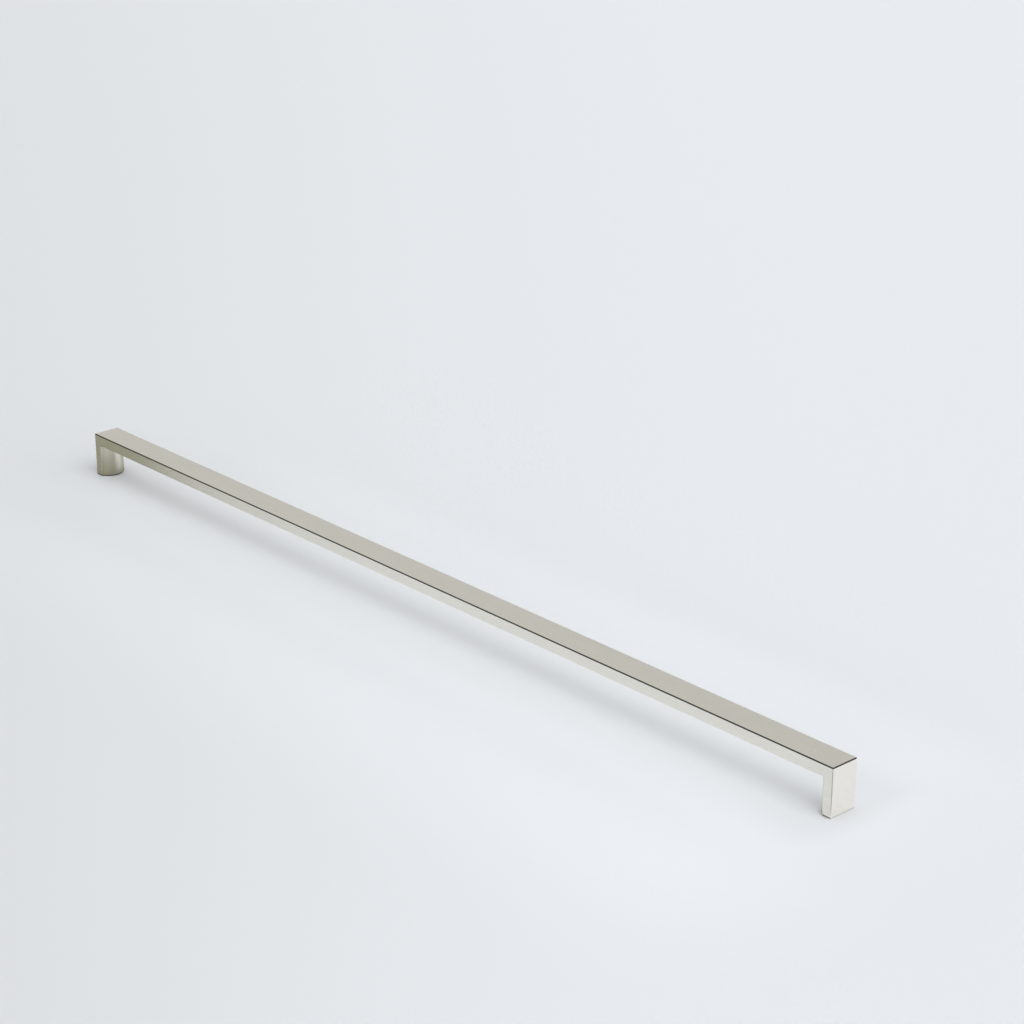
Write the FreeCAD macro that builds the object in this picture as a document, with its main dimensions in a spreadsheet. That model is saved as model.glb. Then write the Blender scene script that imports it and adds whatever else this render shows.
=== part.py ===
import FreeCAD, Part
import math
import os
import Sketcher

# Staple-shaped appliance pull
#
# A flat bar carried on two short legs, cast and machined as one piece of plated brass.
# The legs are flush with the bar's ends and faces. Inside each leg a round boss thickens the
# thin leg plate, and a tapped blind hole goes up through the foot into that thicker metal.
#
# Frame: the feet stand on Z = 0, the bar runs along X, the face that is gripped looks along +Z.
# The origin lies midway between the two holes. Lengths are in millimetres.

# Driving dimensions: alias, value, meaning
SIZES = [
    ("hole_spacing", 896.0, "distance between the two screw holes"),
    ("hole_setback", 8.0, "hole axis to the end face of the pull"),
    ("face_width", 25.2, "width of the bar and of both feet"),
    ("projection", 40.0, "foot to the top face"),
    ("bar_thickness", 10.5, "thickness of the bar"),
    ("leg_thickness", 8.9, "thickness of the flat leg plate"),
    ("boss_bulge", 6.8, "height of the round boss beyond the leg plate"),
    ("boss_clearance", 0.3, "foot of the round boss to the rounded edge of the leg plate"),
    ("boss_root", 1.0, "depth to which the boss is sunk in the leg plate"),
    ("inner_radius", 1.2, "hollow corner between the leg plate and the bar"),
    ("edge_radius", 0.8, "rounding of the outer long edges and the outer corners"),
    ("inner_edge_radius", 1.5, "rounding of the edges that the fingers meet, inside the staple"),
    ("foot_break", 0.5, "small bevel round the bottom of each foot"),
    ("thread_core", 5.0, "drilled diameter under an M6 thread"),
    ("thread_depth", 18.0, "depth of the straight hole wall from the foot"),
    ("mouth_diameter", 6.6, "countersunk mouth of the hole"),
    ("mouth_angle", 90.0, "included angle of the countersink"),
    ("drill_angle", 118.0, "included angle of the drill point"),
]

# Two lengths closer than this are the same length
TOLERANCE = 1e-4

doc = FreeCAD.newDocument("appliance_pull")


def make_sheet():
    """Write the driving dimensions, then the lengths that follow from them."""
    sheet = doc.addObject("Spreadsheet::Sheet", "Sizes")
    rows = [(alias, str(value), meaning) for alias, value, meaning in SIZES]
    rows.append(("half_length", "=hole_spacing / 2 + hole_setback", "centre to the end face"))
    rows.append(("clear_height", "=projection - bar_thickness", "foot to the bar's underside"))
    rows.append(("boss_half", "=face_width / 2 - inner_edge_radius - boss_clearance",
                 "half the boss's width where it leaves the leg plate"))
    rows.append(("boss_radius", "=(boss_half ^ 2 + boss_bulge ^ 2) / (2 * boss_bulge)",
                 "radius of the round boss"))
    rows.append(("boss_centre", "=half_length - leg_thickness - boss_bulge + boss_radius",
                 "middle of the pull to the boss's axis"))
    rows.append(("boss_chord", "=half_length - leg_thickness + boss_root",
                 "middle of the pull to the boss's buried side"))
    for number, (alias, content, meaning) in enumerate(rows, start=1):
        sheet.set(f"A{number}", content)
        sheet.setAlias(f"A{number}", alias)
        sheet.set(f"B{number}", meaning)
    doc.recompute()
    return sheet


def origin_plane(body, role):
    """Return one of the body's own origin planes."""
    return next(item for item in body.Origin.OriginFeatures if item.Role == role)


def make_sketch(body, name, role):
    """Start an empty sketch on an origin plane of the body."""
    sketch = body.newObject("Sketcher::SketchObject", name)
    sketch.AttachmentSupport = [(origin_plane(body, role), "")]
    sketch.MapMode = "FlatFace"
    return sketch


def dimension(sketch, name, expression, constraint):
    """Add a dimension to the sketch and bind it to the sheet."""
    number = sketch.addConstraint(constraint)
    sketch.renameConstraint(number, name)
    sketch.setExpression(f"Constraints.{name}", expression)


def edges_where(feature, test):
    """Name the edges of a feature whose points all pass the test."""
    names = []
    for number, edge in enumerate(feature.Shape.Edges, start=1):
        if not edge.Degenerated and all(test(point) for point in edge.discretize(5)):
            names.append(f"Edge{number}")
    return names


def near(value, target):
    return abs(value - target) < TOLERANCE


def draw_staple(body, sizes):
    """Front outline of the bar and its two leg plates, with hollow inner corners."""
    half = sizes.half_length
    top = sizes.projection
    under = sizes.clear_height
    inner = half - sizes.leg_thickness
    corner = sizes.inner_radius
    outline = make_sketch(body, "StapleOutline", "XZ_Plane")
    points = [
        (-half, 0), (-half, top), (half, top), (half, 0), (inner, 0), (inner, under - corner),
        (inner - corner, under), (corner - inner, under), (-inner, under - corner), (-inner, 0),
    ]
    points = [FreeCAD.Vector(across, up, 0) for across, up in points]
    arc_starts = {5: (inner - corner, 0, math.pi / 2), 7: (corner - inner, math.pi / 2, math.pi)}
    for number, start in enumerate(points):
        end = points[(number + 1) % len(points)]
        if number in arc_starts:
            centre_x, first, last = arc_starts[number]
            centre = FreeCAD.Vector(centre_x, under - corner, 0)
            circle = Part.Circle(centre, FreeCAD.Vector(0, 0, 1), corner)
            outline.addGeometry(Part.ArcOfCircle(circle, first, last), False)
        else:
            outline.addGeometry(Part.LineSegment(start, end), False)

    # Geometry in order: left end, top, right end, right foot, right inner face, right hollow,
    # underside, left hollow, left inner face, left foot
    end_l, face, end_r, foot_r, inner_r, hollow_r, under_side, hollow_l, inner_l, foot_l = range(10)
    joined = [
        ("Coincident", end_l, 2, face, 1), ("Coincident", face, 2, end_r, 1),
        ("Coincident", end_r, 2, foot_r, 1), ("Coincident", foot_r, 2, inner_r, 1),
        ("Tangent", inner_r, 2, hollow_r, 1), ("Tangent", hollow_r, 2, under_side, 1),
        ("Tangent", under_side, 2, hollow_l, 1), ("Tangent", hollow_l, 2, inner_l, 1),
        ("Coincident", inner_l, 2, foot_l, 1), ("Coincident", foot_l, 2, end_l, 1),
        ("Vertical", end_l), ("Vertical", end_r), ("Vertical", inner_r), ("Vertical", inner_l),
        ("Horizontal", under_side), ("Horizontal", foot_r), ("Horizontal", foot_l),
        ("Equal", foot_l, foot_r), ("Equal", hollow_l, hollow_r),
        ("PointOnObject", end_l, 1, -1), ("PointOnObject", foot_r, 1, -1),
        ("Symmetric", face, 1, face, 2, -2),
    ]
    for rule in joined:
        outline.addConstraint(Sketcher.Constraint(*rule))
    dimension(outline, "length", "Sizes.half_length * 2",
              Sketcher.Constraint("DistanceX", face, 1, face, 2, half * 2))
    dimension(outline, "projection", "Sizes.projection",
              Sketcher.Constraint("DistanceY", end_l, 1, end_l, 2, top))
    dimension(outline, "leg", "Sizes.leg_thickness",
              Sketcher.Constraint("DistanceX", foot_r, 2, foot_r, 1, sizes.leg_thickness))
    dimension(outline, "hollow", "Sizes.inner_radius",
              Sketcher.Constraint("Radius", hollow_r, corner))
    dimension(outline, "underside", "Sizes.clear_height",
              Sketcher.Constraint("DistanceY", inner_r, 1, under_side, 1, under))
    return outline


def draw_boss(body, sizes):
    """Plan of the boss: an arc inside the leg, closed by a chord buried in the plate."""
    centre_x = sizes.boss_centre
    chord_x = sizes.boss_chord
    turn = math.acos((chord_x - centre_x) / sizes.boss_radius)
    rise = sizes.boss_radius * math.sin(turn)
    plan = make_sketch(body, "BossPlan", "XY_Plane")
    circle = Part.Circle(FreeCAD.Vector(centre_x, 0, 0), FreeCAD.Vector(0, 0, 1), sizes.boss_radius)
    arc = plan.addGeometry(Part.ArcOfCircle(circle, turn, 2 * math.pi - turn), False)
    chord_ends = [FreeCAD.Vector(chord_x, -rise, 0), FreeCAD.Vector(chord_x, rise, 0)]
    chord = plan.addGeometry(Part.LineSegment(*chord_ends), False)
    plan.addConstraint(Sketcher.Constraint("Coincident", arc, 2, chord, 1))
    plan.addConstraint(Sketcher.Constraint("Coincident", arc, 1, chord, 2))
    plan.addConstraint(Sketcher.Constraint("PointOnObject", arc, 3, -1))
    plan.addConstraint(Sketcher.Constraint("Vertical", chord))
    dimension(plan, "radius", "Sizes.boss_radius",
              Sketcher.Constraint("Radius", arc, sizes.boss_radius))
    dimension(plan, "centre", "Sizes.boss_centre",
              Sketcher.Constraint("DistanceX", -1, 1, arc, 3, centre_x))
    dimension(plan, "chord", "Sizes.boss_chord",
              Sketcher.Constraint("DistanceX", -1, 1, chord, 1, chord_x))
    return plan


def draw_hole(body, sizes):
    """Place of the screw hole in the sole of the foot."""
    spot = make_sketch(body, "HoleSpot", "XY_Plane")
    centre = FreeCAD.Vector(sizes.hole_spacing / 2, 0, 0)
    radius = sizes.thread_core / 2
    ring = spot.addGeometry(Part.Circle(centre, FreeCAD.Vector(0, 0, 1), radius), False)
    spot.addConstraint(Sketcher.Constraint("PointOnObject", ring, 3, -1))
    dimension(spot, "place", "Sizes.hole_spacing / 2",
              Sketcher.Constraint("DistanceX", -1, 1, ring, 3, centre.x))
    dimension(spot, "bore", "Sizes.thread_core / 2", Sketcher.Constraint("Radius", ring, radius))
    return spot


def make_pull(sizes):
    """Build the whole pull as one body."""
    body = doc.addObject("PartDesign::Body", "Pull")
    body.Label = "pull_bar"

    # Bar and leg plates in one stroke, centred on the XZ plane
    staple = body.newObject("PartDesign::Pad", "Staple")
    staple.Profile = draw_staple(body, sizes)
    staple.SideType = "Symmetric"
    staple.setExpression("Length", "Sizes.face_width")
    doc.recompute()

    # Outer edges: the front and back outlines from foot to foot, and the two ends of the top face
    half_width = sizes.face_width / 2
    outer = body.newObject("PartDesign::Fillet", "OuterRounding")
    outer_edges = edges_where(staple, lambda point: near(abs(point.y), half_width)
                              and (near(abs(point.x), sizes.half_length)
                                   or near(point.z, sizes.projection)))
    top_ends = edges_where(staple, lambda point: near(point.z, sizes.projection)
                           and near(abs(point.x), sizes.half_length))
    outer.Base = (staple, outer_edges + top_ends)
    outer.setExpression("Radius", "Sizes.edge_radius")
    doc.recompute()

    # Inner edges: up one leg, round the hollow corner, along the underside and down the other leg
    inner = body.newObject("PartDesign::Fillet", "InnerRounding")
    leg_x = sizes.half_length - sizes.leg_thickness
    inner_edges = edges_where(outer, lambda point: near(abs(point.y), half_width)
                              and point.z < sizes.clear_height + TOLERANCE
                              and abs(point.x) < leg_x + TOLERANCE)
    inner.Base = (outer, inner_edges)
    inner.setExpression("Radius", "Sizes.inner_edge_radius")
    doc.recompute()

    # Boss of the right leg, run up into the bar
    boss = body.newObject("PartDesign::Pad", "Boss")
    boss.Profile = draw_boss(body, sizes)
    boss.setExpression("Length", "Sizes.projection - Sizes.bar_thickness / 2")
    doc.recompute()

    # Blind hole for the thread, from the sole upwards
    hole_spot = draw_hole(body, sizes)
    doc.recompute()
    solid_volume = boss.Shape.Volume
    hole = body.newObject("PartDesign::Hole", "ScrewHole")
    hole.Profile = hole_spot
    hole.Reversed = True
    hole.ThreadType = "None"
    hole.DepthType = "Dimension"
    hole.DrillPoint = "Angled"
    hole.HoleCutType = "Countersink"
    hole.HoleCutCustomValues = True
    hole.setExpression("Diameter", "Sizes.thread_core")
    hole.setExpression("Depth", "Sizes.thread_depth")
    hole.setExpression("DrillPointAngle", "Sizes.drill_angle")
    hole.setExpression("HoleCutDiameter", "Sizes.mouth_diameter")
    hole.setExpression("HoleCutCountersinkAngle", "Sizes.mouth_angle")
    doc.recompute()
    if hole.Shape.Volume > solid_volume - TOLERANCE:
        raise ValueError("the screw hole cuts nothing")

    # The left leg's boss and hole mirror the right leg's
    mirrored = body.newObject("PartDesign::Mirrored", "SecondLeg")
    mirrored.Originals = [boss, hole]
    mirrored.MirrorPlane = (origin_plane(body, "YZ_Plane"), [""])
    body.Tip = mirrored
    doc.recompute()

    # Bevel round both soles, leaving the mouths of the holes as they are
    bevel = body.newObject("PartDesign::Chamfer", "SoleBevel")
    rim_reach = sizes.mouth_diameter / 2 + TOLERANCE
    hole_x = sizes.hole_spacing / 2
    sole_edges = edges_where(mirrored, lambda point: near(point.z, 0)
                             and math.hypot(abs(point.x) - hole_x, point.y) > rim_reach)
    bevel.Base = (mirrored, sole_edges)
    bevel.setExpression("Size", "Sizes.foot_break")
    body.Tip = bevel
    doc.recompute()
    return body


def check_objects(bodies):
    """Stop if any object failed or any sub-part isn't one sound solid."""
    for item in doc.Objects:
        if "Invalid" in item.State or "Error" in item.State:
            raise ValueError(f"{item.Name} failed: {item.State}")
    for body in bodies:
        shape = body.Shape
        if shape.isNull() or not shape.isValid() or len(shape.Solids) != 1:
            raise ValueError(f"{body.Label} isn't one valid solid")


def main():
    sizes = make_sheet()
    bodies = [make_pull(sizes)]
    check_objects(bodies)
    os.makedirs("parts", exist_ok=True)
    for body in bodies:
        body.Shape.exportStep(f"parts/{body.Label}.step")
        box = body.Shape.BoundBox
        print(f"{body.Label}: {box.XLength:.2f} x {box.YLength:.2f} x {box.ZLength:.2f} mm,"
              f" {body.Shape.Volume / 1000:.1f} cm3")


main()
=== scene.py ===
import math

import bpy
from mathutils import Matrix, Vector

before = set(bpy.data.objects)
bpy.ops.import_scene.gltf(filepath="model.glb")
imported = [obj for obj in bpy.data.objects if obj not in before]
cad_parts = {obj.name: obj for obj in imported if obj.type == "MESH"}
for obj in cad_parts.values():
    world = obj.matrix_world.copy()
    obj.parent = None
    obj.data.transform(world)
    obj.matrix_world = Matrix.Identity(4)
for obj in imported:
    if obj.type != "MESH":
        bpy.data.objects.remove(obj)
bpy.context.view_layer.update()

# Lengths are in metres and colours are linear. A ramp is written as Graph.ramp takes it:
# (start, end), which goes from 0 to 1, or (start, end, value at start, value at end).

# The photograph's view: the camera stands to the right of the pull's front, above it
CAMERA_AZIMUTH = math.radians(48.000)
CAMERA_ELEVATION = math.radians(21.661)
CAMERA_PLACE = Vector((1.5175, -1.2672, 0.8773))
CAMERA_LENS_MM = 92.693
CAMERA_REACH = 100.0

# Level directions: to the right in the photograph, and away from its camera
IMAGE_RIGHT = (0.669, 0.743, 0.0)
IMAGE_AWAY = (-0.743, 0.669, 0.0)

# Paper: greyer to the photograph's left and paler to its right, by a ramp over the distance to the
# right. The ramp is narrowest on a line in front of the pull, at PAPER_NARROW_AT along IMAGE_AWAY,
# and widens on both sides of that line. The backdrop's ramp is over the cosine with IMAGE_RIGHT.
# Painted shade: the paper and the backdrop are painted greyer towards the left, where less light
# falls
FLOOR_LEFT_COLOUR = (0.688, 0.704, 0.713)
FLOOR_RIGHT_COLOUR = (0.803, 0.827, 0.859)
FLOOR_ROUGHNESS = 0.9
FLOOR_REACH = 7.0
PAPER_CHANGE = (-0.80, 0.30)
PAPER_NARROW_AT = -0.7
PAPER_NARROW_WIDTH = 0.58
PAPER_WIDENING = 0.6
BACKDROP_CHANGE = (-0.59, 0.22)

# The paper lies just under the soles, and reflections shorter than SOLE_RAY_LENGTH pass through it
FLOOR_Z = -0.00005
SOLE_RAY_LENGTH = 0.0003

# Painted light: the band below is light painted into the paper's colour
# Paler band of paper in front of the bar, behind it and past its right end: how much paler at the
# photograph's left and right, and where. It makes up for the broad shadow from the wall of light.
LEFT_GLOW = 1.050
RIGHT_GLOW = 1.105
FRONT_GLOW_INNER_Y = (-0.030, -0.072)
FRONT_GLOW_OUTER_Y = (-0.31, -0.07)
BACK_GLOW_INNER_Y = (0.040, 0.085)
BACK_GLOW_OUTER_Y = (0.185, 0.085, 0.0, 0.80)
END_GLOW_X = (0.455, 0.485)
GLOW_LEFT_X = (-0.60, -0.25)
GLOW_RIGHT_X = (0.60, 0.40)

# The floor as the metal mirrors it, as painted reflections: colours that only reflections see,
# painted dark at the left front, fading to the right, less dark behind the bar, and nearly white
# beside the right end, with a grey corner in front. MIRROR_FADE_START is a ramp over Y of the X
# where the fading starts, and MIRROR_BEHIND_SHARE a ramp over X of the share of the dark that is
# left behind the bar.
MIRROR_DARK_COLOUR = (0.342, 0.341, 0.264)
MIRROR_PALE_COLOUR = (0.845, 0.860, 0.875)
MIRROR_END_COLOUR = (0.96, 0.97, 1.0)
MIRROR_CORNER_COLOUR = (0.38, 0.39, 0.38)
MIRROR_FADE_START = (-0.070, -0.035, -0.485, -0.420)
MIRROR_FADE = 0.125
MIRROR_BEHIND_Y = (-0.010, 0.034)
MIRROR_BEHIND_SHARE = (-0.445, -0.425, 0.80, 0.22)
MIRROR_END_X = (0.44, 0.46)
MIRROR_END_Y = (-0.030, -0.013)

# The room as the metal mirrors it: pale, with a shaded ring over its left and back that has a gap,
# and a shaded left side. The ramps are over the direction's height or its cosine with a way.
MIRRORED_ROOM_LEVEL = 0.64
MIRRORED_ROOM_TINT = (1.0, 0.995, 0.945)
SHADED_RING = 0.50
RING_LOWER = (0.42, 0.58)
RING_UPPER = (0.95, 0.80)
RING_WAY = (-0.75, 0.45, 0.0)
RING_SIDES = (-0.35, 0.05)
RING_GAP_WAY = (-0.67, 0.64, 0.41)
RING_GAP = (0.97, 0.87)
SHADED_SIDE = 0.40
SIDE_WAY = (-0.75, -0.66, 0.0)
SIDE_SPREAD = (0.70, 0.90)

# Light: an even room, a low round wall of light that reaches under the bar, and a broad key light
# from above on the right
ROOM_LEVEL = 0.25
ROOM_TINT = (0.985, 1.0, 1.015)
WALL_LEVEL = 2.9
WALL_RADIUS = 20.0
WALL_HEIGHT = 8.8
WALL_SIDES = 16
KEY_WAY = (0.75, -0.04, 0.90)
KEY_SPREAD = math.radians(50)
KEY_LEVEL = 1.28

# Satin nickel: fine grain drawn out along the bar and soft clouds, as cycles per metre along X, Y
# and Z. Both vary the colour, and the grain varies the roughness and the relief.
NICKEL_COLOUR = (0.84, 0.82, 0.765)
COLOUR_VARIATION = 0.02
SHADE_RANGE = (0.3, 0.7)
GRAIN_SCALE = (45.0, 4200.0, 4200.0)
GRAIN_DETAIL = 3.0
CLOUD_SCALE = (28.0, 90.0, 90.0)
CLOUD_DETAIL = 2.0
GRAIN_RANGE = (0.25, 0.75)
SATIN_ROUGHNESS = 0.30
ROUGHNESS_VARIATION = 0.05
SATIN_DEPTH = 0.000004

# Painted reflection: a dark line painted round the top face, on its rounded edges and a little of
# the faces below them, where the edges mirror dark surroundings
PAINTED_EDGE_REFLECTION_COLOUR = (0.09, 0.088, 0.079)
EDGE_FACING_UP = (0.99, 0.93)
EDGE_Z = (0.0390, 0.0391)

# Painted shadow: a dark line painted at the floor, on the lowest millimetre of the legs, fainter
# on the end faces, and not on the soles
CONTACT_SHADOW_COLOUR = (0.07, 0.068, 0.060)
CONTACT_Z = (0.0013, 0.0008)
CONTACT_FACING_UP = (-0.98, -0.90)
CONTACT_END_X = (0.4548, 0.4556, 1.0, 0.30)

# Thread in the two holes
HOLE_X = 0.448
HOLE_MOUTH_RADIUS = 0.0034
THREAD_TOP = 0.018
THREAD_PITCH = 0.001
THREAD_DEPTH = 0.0008


def make_camera():
    """Camera at the photograph's angle, with no shift."""
    data = bpy.data.cameras.new("camera")
    data.lens = CAMERA_LENS_MM
    data.clip_end = CAMERA_REACH
    camera = bpy.data.objects.new("camera", data)
    bpy.context.scene.collection.objects.link(camera)
    level = math.cos(CAMERA_ELEVATION)
    look = Vector((
        -math.sin(CAMERA_AZIMUTH) * level,
        math.cos(CAMERA_AZIMUTH) * level,
        -math.sin(CAMERA_ELEVATION),
    ))
    camera.location = CAMERA_PLACE
    camera.rotation_euler = look.to_track_quat("-Z", "Y").to_euler()
    bpy.context.scene.camera = camera


class Graph:
    """Short ways to add and join shader nodes."""

    def __init__(self, tree):
        self.tree = tree

    def add(self, kind, **values):
        node = self.tree.nodes.new(kind)
        for name, value in values.items():
            setattr(node, name, value)
        return node

    def join(self, source, target):
        self.tree.links.new(source, target)

    def feed(self, node, values):
        """Put numbers, colours or other nodes' outputs into the inputs with the given indices."""
        for index, value in values.items():
            if hasattr(value, "is_output"):
                self.join(value, node.inputs[index])
            else:
                node.inputs[index].default_value = value

    def math(self, operation, first, second=0.0):
        node = self.add("ShaderNodeMath", operation=operation)
        self.feed(node, {0: first, 1: second})
        return node.outputs[0]

    def product(self, first, *others):
        for other in others:
            first = self.math("MULTIPLY", first, other)
        return first

    def ramp(self, value, start, end, at_start=0.0, at_end=1.0):
        """Smooth step between two values."""
        node = self.add("ShaderNodeMapRange", interpolation_type="SMOOTHSTEP")
        self.feed(node, {0: value, 1: start, 2: end, 3: at_start, 4: at_end})
        return node.outputs[0]

    def split(self, vector):
        """X, Y and Z of a vector."""
        node = self.add("ShaderNodeSeparateXYZ")
        self.join(vector, node.inputs[0])
        return tuple(node.outputs)

    def toward(self, vector, way):
        """How far a vector reaches along a way; for a unit vector, the cosine between them."""
        node = self.add("ShaderNodeVectorMath", operation="DOT_PRODUCT")
        self.join(vector, node.inputs[0])
        node.inputs[1].default_value = Vector(way).normalized()
        return node.outputs["Value"]

    def mix(self, share, first, second):
        """Mix of two numbers."""
        node = self.add("ShaderNodeMix", data_type="FLOAT")
        self.feed(node, {0: share, 2: first, 3: second})
        return node.outputs[0]

    def mix_colour(self, share, first, second):
        """Mix of two colours, each a named colour or another node's output."""
        first, second = (
            (*colour, 1.0) if isinstance(colour, tuple) else colour for colour in (first, second)
        )
        node = self.add("ShaderNodeMix", data_type="RGBA")
        self.feed(node, {0: share, 6: first, 7: second})
        return node.outputs[2]

    def bump(self, height, depth):
        node = self.add("ShaderNodeBump")
        node.inputs["Strength"].default_value = 1.0
        node.inputs["Distance"].default_value = depth
        self.join(height, node.inputs["Height"])
        return node


def scaled(colour, gain):
    return tuple(part * gain for part in colour)


def new_material(name):
    """Material with a Principled shader."""
    material = bpy.data.materials.new(name)
    material.use_nodes = True
    tree = material.node_tree
    tree.nodes.clear()
    shader = tree.nodes.new("ShaderNodeBsdfPrincipled")
    output = tree.nodes.new("ShaderNodeOutputMaterial")
    tree.links.new(shader.outputs["BSDF"], output.inputs["Surface"])
    return material, shader, Graph(tree)


def new_object(name, corners, faces, material):
    mesh = bpy.data.meshes.new(name)
    mesh.from_pydata(corners, [], faces)
    mesh.materials.append(material)
    made = bpy.data.objects.new(name, mesh)
    bpy.context.scene.collection.objects.link(made)
    return made


def paper_colour(graph, place, x, y):
    """The paper: painted shade from left to right, and a painted paler band beside the bar."""
    beyond = graph.math("SUBTRACT", graph.toward(place, IMAGE_AWAY), PAPER_NARROW_AT)
    widening = graph.product(graph.math("ABSOLUTE", beyond), PAPER_WIDENING)
    width = graph.math("ADD", widening, PAPER_NARROW_WIDTH)
    rightward = graph.math("DIVIDE", graph.toward(place, IMAGE_RIGHT), width)
    rightness = graph.ramp(rightward, *PAPER_CHANGE)
    plain = graph.mix_colour(rightness, FLOOR_LEFT_COLOUR, FLOOR_RIGHT_COLOUR)
    bright_left = scaled(FLOOR_LEFT_COLOUR, LEFT_GLOW)
    bright_right = scaled(FLOOR_RIGHT_COLOUR, RIGHT_GLOW)
    bright = graph.mix_colour(rightness, bright_left, bright_right)

    # Painted light: where the paper is painted paler around the bar
    front = graph.product(graph.ramp(y, *FRONT_GLOW_INNER_Y), graph.ramp(y, *FRONT_GLOW_OUTER_Y))
    back = graph.product(graph.ramp(y, *BACK_GLOW_INNER_Y), graph.ramp(y, *BACK_GLOW_OUTER_Y))
    end = graph.product(
        graph.ramp(y, *reversed(FRONT_GLOW_INNER_Y)),
        graph.ramp(y, *reversed(BACK_GLOW_INNER_Y)),
        graph.ramp(x, *END_GLOW_X),
    )
    glow = graph.math("ADD", graph.math("ADD", front, back), end)
    glow = graph.product(glow, graph.ramp(x, *GLOW_LEFT_X), graph.ramp(x, *GLOW_RIGHT_X))
    return graph.mix_colour(glow, plain, bright)


def mirrored_floor_colour(graph, x, y):
    """Painted reflection: the floor's colour as the metal mirrors it."""
    past_start = graph.math("SUBTRACT", x, graph.ramp(y, *MIRROR_FADE_START))
    past_start = graph.math("MAXIMUM", past_start, 0.0)
    dark = graph.math("EXPONENT", graph.product(past_start, -1.0 / MIRROR_FADE))
    behind = graph.ramp(x, *MIRROR_BEHIND_SHARE)
    dark = graph.product(dark, graph.ramp(y, *MIRROR_BEHIND_Y, 1.0, behind))
    colour = graph.mix_colour(dark, MIRROR_PALE_COLOUR, MIRROR_DARK_COLOUR)

    past_end = graph.ramp(x, *MIRROR_END_X)
    beside_end = graph.product(past_end, graph.ramp(y, *MIRROR_END_Y))
    before_corner = graph.product(past_end, graph.ramp(y, *reversed(MIRROR_END_Y)))
    colour = graph.mix_colour(beside_end, colour, MIRROR_END_COLOUR)
    return graph.mix_colour(before_corner, colour, MIRROR_CORNER_COLOUR)


def make_floor():
    """Sheet of pale paper, with painted reflections: colours of its own for what the metal
    mirrors.
    """
    material, shader, graph = new_material("floor_paper")
    shader.inputs["Roughness"].default_value = FLOOR_ROUGHNESS
    shader.inputs["Specular IOR Level"].default_value = 0.0
    place = graph.add("ShaderNodeTexCoord").outputs["Object"]
    x, y, _ = graph.split(place)
    ray = graph.add("ShaderNodeLightPath").outputs
    paper = paper_colour(graph, place, x, y)
    mirrored = mirrored_floor_colour(graph, x, y)
    # Reflections see the painted reflection colours instead of the paper
    colour = graph.mix_colour(ray["Is Glossy Ray"], paper, mirrored)
    graph.join(colour, shader.inputs["Base Color"])

    # The paper is clear for the camera from below and for reflections right under the soles, so
    # that the feet can be seen from below
    from_below = graph.add("ShaderNodeNewGeometry").outputs["Backfacing"]
    from_below = graph.product(from_below, ray["Is Camera Ray"])
    under_sole = graph.math("LESS_THAN", ray["Ray Length"], SOLE_RAY_LENGTH)
    under_sole = graph.product(under_sole, ray["Is Glossy Ray"])
    clear = graph.math("MAXIMUM", from_below, under_sole)
    transparent = graph.add("ShaderNodeBsdfTransparent").outputs[0]
    one_sided = graph.add("ShaderNodeMixShader")
    graph.feed(one_sided, {0: clear, 1: shader.outputs["BSDF"], 2: transparent})
    output = graph.tree.nodes["Material Output"]
    graph.join(one_sided.outputs[0], output.inputs["Surface"])

    signs = ((-1, -1), (1, -1), (1, 1), (-1, 1))
    corners = [(FLOOR_REACH * right, FLOOR_REACH * back, FLOOR_Z) for right, back in signs]
    floor = new_object("floor", corners, [(0, 1, 2, 3)], material)


def mirrored_room_level(graph, way):
    """The room's level as the metal mirrors it."""
    _, _, up = graph.split(way)
    ring = graph.product(
        graph.ramp(up, *RING_LOWER),
        graph.ramp(up, *RING_UPPER),
        graph.ramp(graph.toward(way, RING_WAY), *RING_SIDES),
        graph.ramp(graph.toward(way, RING_GAP_WAY), *RING_GAP),
        SHADED_RING,
    )
    side = graph.product(graph.ramp(graph.toward(way, SIDE_WAY), *SIDE_SPREAD), SHADED_SIDE)
    lit = graph.math("SUBTRACT", 1.0, graph.math("MAXIMUM", ring, side))
    return graph.product(lit, MIRRORED_ROOM_LEVEL)


def make_world():
    """Even room light, the paper's colours for the camera, and the mirrored room for the metal."""
    world = bpy.data.worlds.new("studio")
    bpy.context.scene.world = world
    world.use_nodes = True
    graph = Graph(world.node_tree)
    way = graph.add("ShaderNodeTexCoord").outputs["Generated"]
    ray = graph.add("ShaderNodeLightPath").outputs
    level = graph.mix(ray["Is Glossy Ray"], ROOM_LEVEL, mirrored_room_level(graph, way))
    level = graph.mix(ray["Is Camera Ray"], level, 1.0)
    # The backdrop carries the paper's painted shade, greyer towards the left
    rightness = graph.ramp(graph.toward(way, IMAGE_RIGHT), *BACKDROP_CHANGE)
    backdrop = graph.mix_colour(rightness, FLOOR_LEFT_COLOUR, FLOOR_RIGHT_COLOUR)
    tint = graph.mix_colour(ray["Is Glossy Ray"], ROOM_TINT, MIRRORED_ROOM_TINT)
    tint = graph.mix_colour(ray["Is Camera Ray"], tint, backdrop)
    background = world.node_tree.nodes["Background"]
    graph.join(tint, background.inputs["Color"])
    graph.join(level, background.inputs["Strength"])


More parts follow.
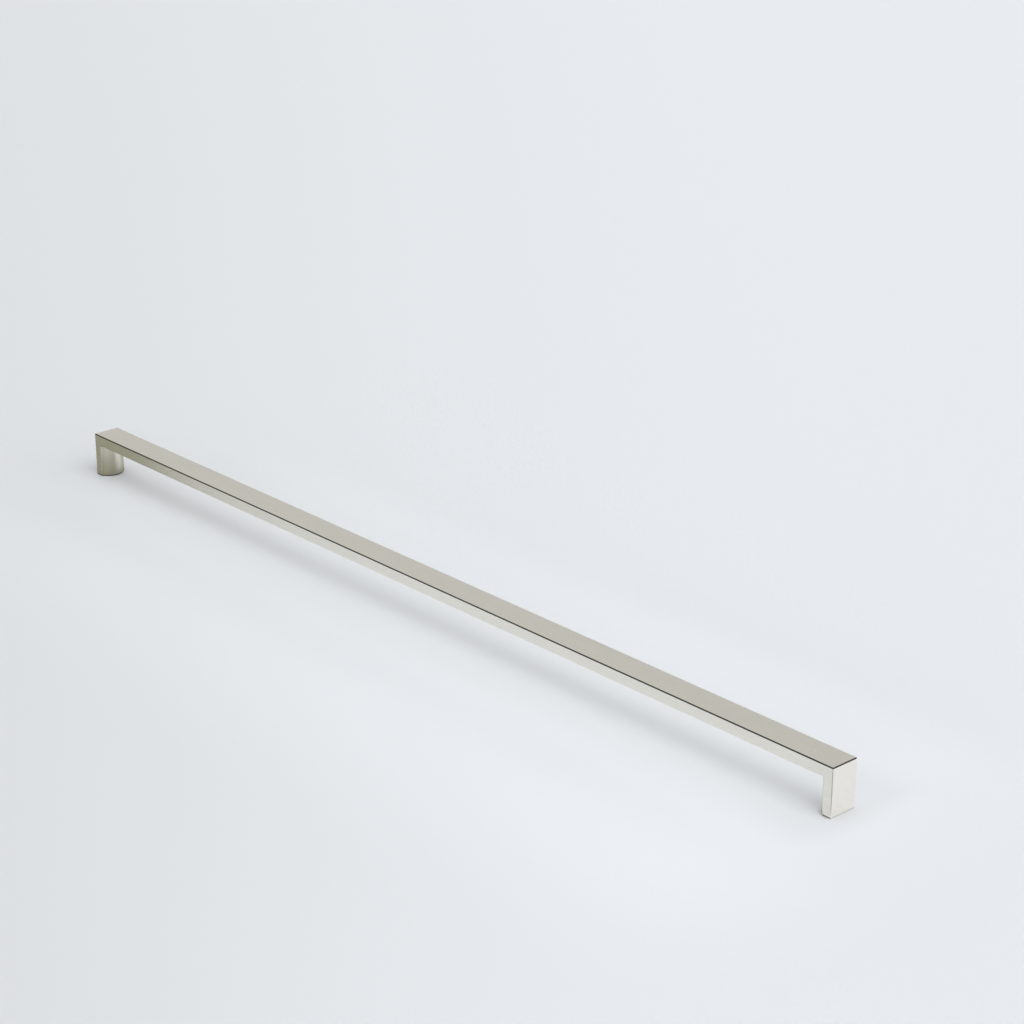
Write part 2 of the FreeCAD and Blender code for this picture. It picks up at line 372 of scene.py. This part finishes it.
def make_light_wall():
    """Low round wall of light, facing inwards, which isn't seen or mirrored."""
    turns = [2 * math.pi * k / WALL_SIDES for k in range(WALL_SIDES)]
    corners = [
        (WALL_RADIUS * math.cos(turn), WALL_RADIUS * math.sin(turn), z)
        for z in (0.0, WALL_HEIGHT)
        for turn in turns
    ]
    faces = []
    for k in range(WALL_SIDES):
        after = (k + 1) % WALL_SIDES
        faces.append((after, k, k + WALL_SIDES, after + WALL_SIDES))
    material = bpy.data.materials.new("light_wall")
    material.use_nodes = True
    tree = material.node_tree
    tree.nodes.clear()
    glow = tree.nodes.new("ShaderNodeEmission")
    glow.inputs["Strength"].default_value = WALL_LEVEL
    output = tree.nodes.new("ShaderNodeOutputMaterial")
    tree.links.new(glow.outputs[0], output.inputs["Surface"])
    wall = new_object("light_wall", corners, faces, material)
    wall.visible_camera = False
    wall.visible_glossy = False
    wall.visible_shadow = False


def make_key_light():
    """Broad distant light, which isn't mirrored."""
    data = bpy.data.lights.new("key", "SUN")
    data.energy = KEY_LEVEL
    data.angle = KEY_SPREAD
    light = bpy.data.objects.new("key", data)
    bpy.context.scene.collection.objects.link(light)
    light.rotation_euler = Vector(KEY_WAY).to_track_quat("Z", "Y").to_euler()
    light.visible_glossy = False


def streaks(graph, place, scale, detail):
    """Noise with a scale of its own along X, Y and Z."""
    mapping = graph.add("ShaderNodeMapping")
    graph.join(place, mapping.inputs["Vector"])
    mapping.inputs["Scale"].default_value = scale
    noise = graph.add("ShaderNodeTexNoise")
    graph.join(mapping.outputs[0], noise.inputs["Vector"])
    noise.inputs["Scale"].default_value = 1.0
    noise.inputs["Detail"].default_value = detail
    return noise.outputs["Fac"]


def thread_ridges(graph, x, y, z):
    """Height of a right-hand thread on the wall of the nearer hole, and nothing elsewhere."""
    beside = graph.math("SUBTRACT", x, graph.product(graph.math("SIGN", x), HOLE_X))
    squares = [graph.math("POWER", part, 2.0) for part in (beside, y)]
    radius = graph.math("SQRT", graph.math("ADD", *squares))
    turn = graph.math("DIVIDE", graph.math("ARCTAN2", y, beside), 2 * math.pi)
    phase = graph.math("SUBTRACT", graph.math("DIVIDE", z, THREAD_PITCH), turn)
    wave = graph.math("PINGPONG", phase, 0.5)
    inside = graph.math("LESS_THAN", radius, HOLE_MOUTH_RADIUS)
    below_top = graph.math("LESS_THAN", z, THREAD_TOP)
    return graph.product(wave, inside, below_top)


def make_nickel():
    """Satin nickel with painted lines, reflection at the top and shadow at the floor, and thread
    relief.
    """
    material, shader, graph = new_material("satin_nickel")
    place = graph.add("ShaderNodeTexCoord").outputs["Object"]
    x, y, z = graph.split(place)
    _, _, facing_up = graph.split(graph.add("ShaderNodeNewGeometry").outputs["Normal"])
    grain = streaks(graph, place, GRAIN_SCALE, GRAIN_DETAIL)
    clouds = streaks(graph, place, CLOUD_SCALE, CLOUD_DETAIL)

    shade = graph.math("ADD", graph.product(clouds, 0.5), graph.product(grain, 0.5))
    darker = scaled(NICKEL_COLOUR, 1.0 - COLOUR_VARIATION)
    paler = scaled(NICKEL_COLOUR, 1.0 + COLOUR_VARIATION)
    colour = graph.mix_colour(graph.ramp(shade, *SHADE_RANGE), darker, paler)
    # Painted reflection: the rounded top edges are painted dark
    painted_edge_reflection = graph.product(graph.ramp(facing_up, *EDGE_FACING_UP), graph.ramp(z, *EDGE_Z))
    colour = graph.mix_colour(painted_edge_reflection, colour, PAINTED_EDGE_REFLECTION_COLOUR)
    # Painted shadow: the lowest millimetre of the legs is painted dark
    contact_shadow = graph.product(
        graph.ramp(z, *CONTACT_Z),
        graph.ramp(facing_up, *CONTACT_FACING_UP),
        graph.ramp(graph.math("ABSOLUTE", x), *CONTACT_END_X),
    )
    colour = graph.mix_colour(contact_shadow, colour, CONTACT_SHADOW_COLOUR)
    graph.join(colour, shader.inputs["Base Color"])
    shader.inputs["Metallic"].default_value = 1.0

    smoothest = SATIN_ROUGHNESS - ROUGHNESS_VARIATION
    roughest = SATIN_ROUGHNESS + ROUGHNESS_VARIATION
    graph.join(graph.ramp(grain, *GRAIN_RANGE, smoothest, roughest), shader.inputs["Roughness"])
    satin = graph.bump(grain, SATIN_DEPTH)
    thread = graph.bump(thread_ridges(graph, x, y, z), THREAD_DEPTH)
    graph.join(satin.outputs[0], thread.inputs["Normal"])
    graph.join(thread.outputs[0], shader.inputs["Normal"])
    return material


make_camera()
make_floor()
make_world()
make_light_wall()
make_key_light()

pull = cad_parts["pull_bar"]
pull.data.materials.clear()
pull.data.materials.append(make_nickel())

bpy.context.scene.view_settings.view_transform = "Standard"
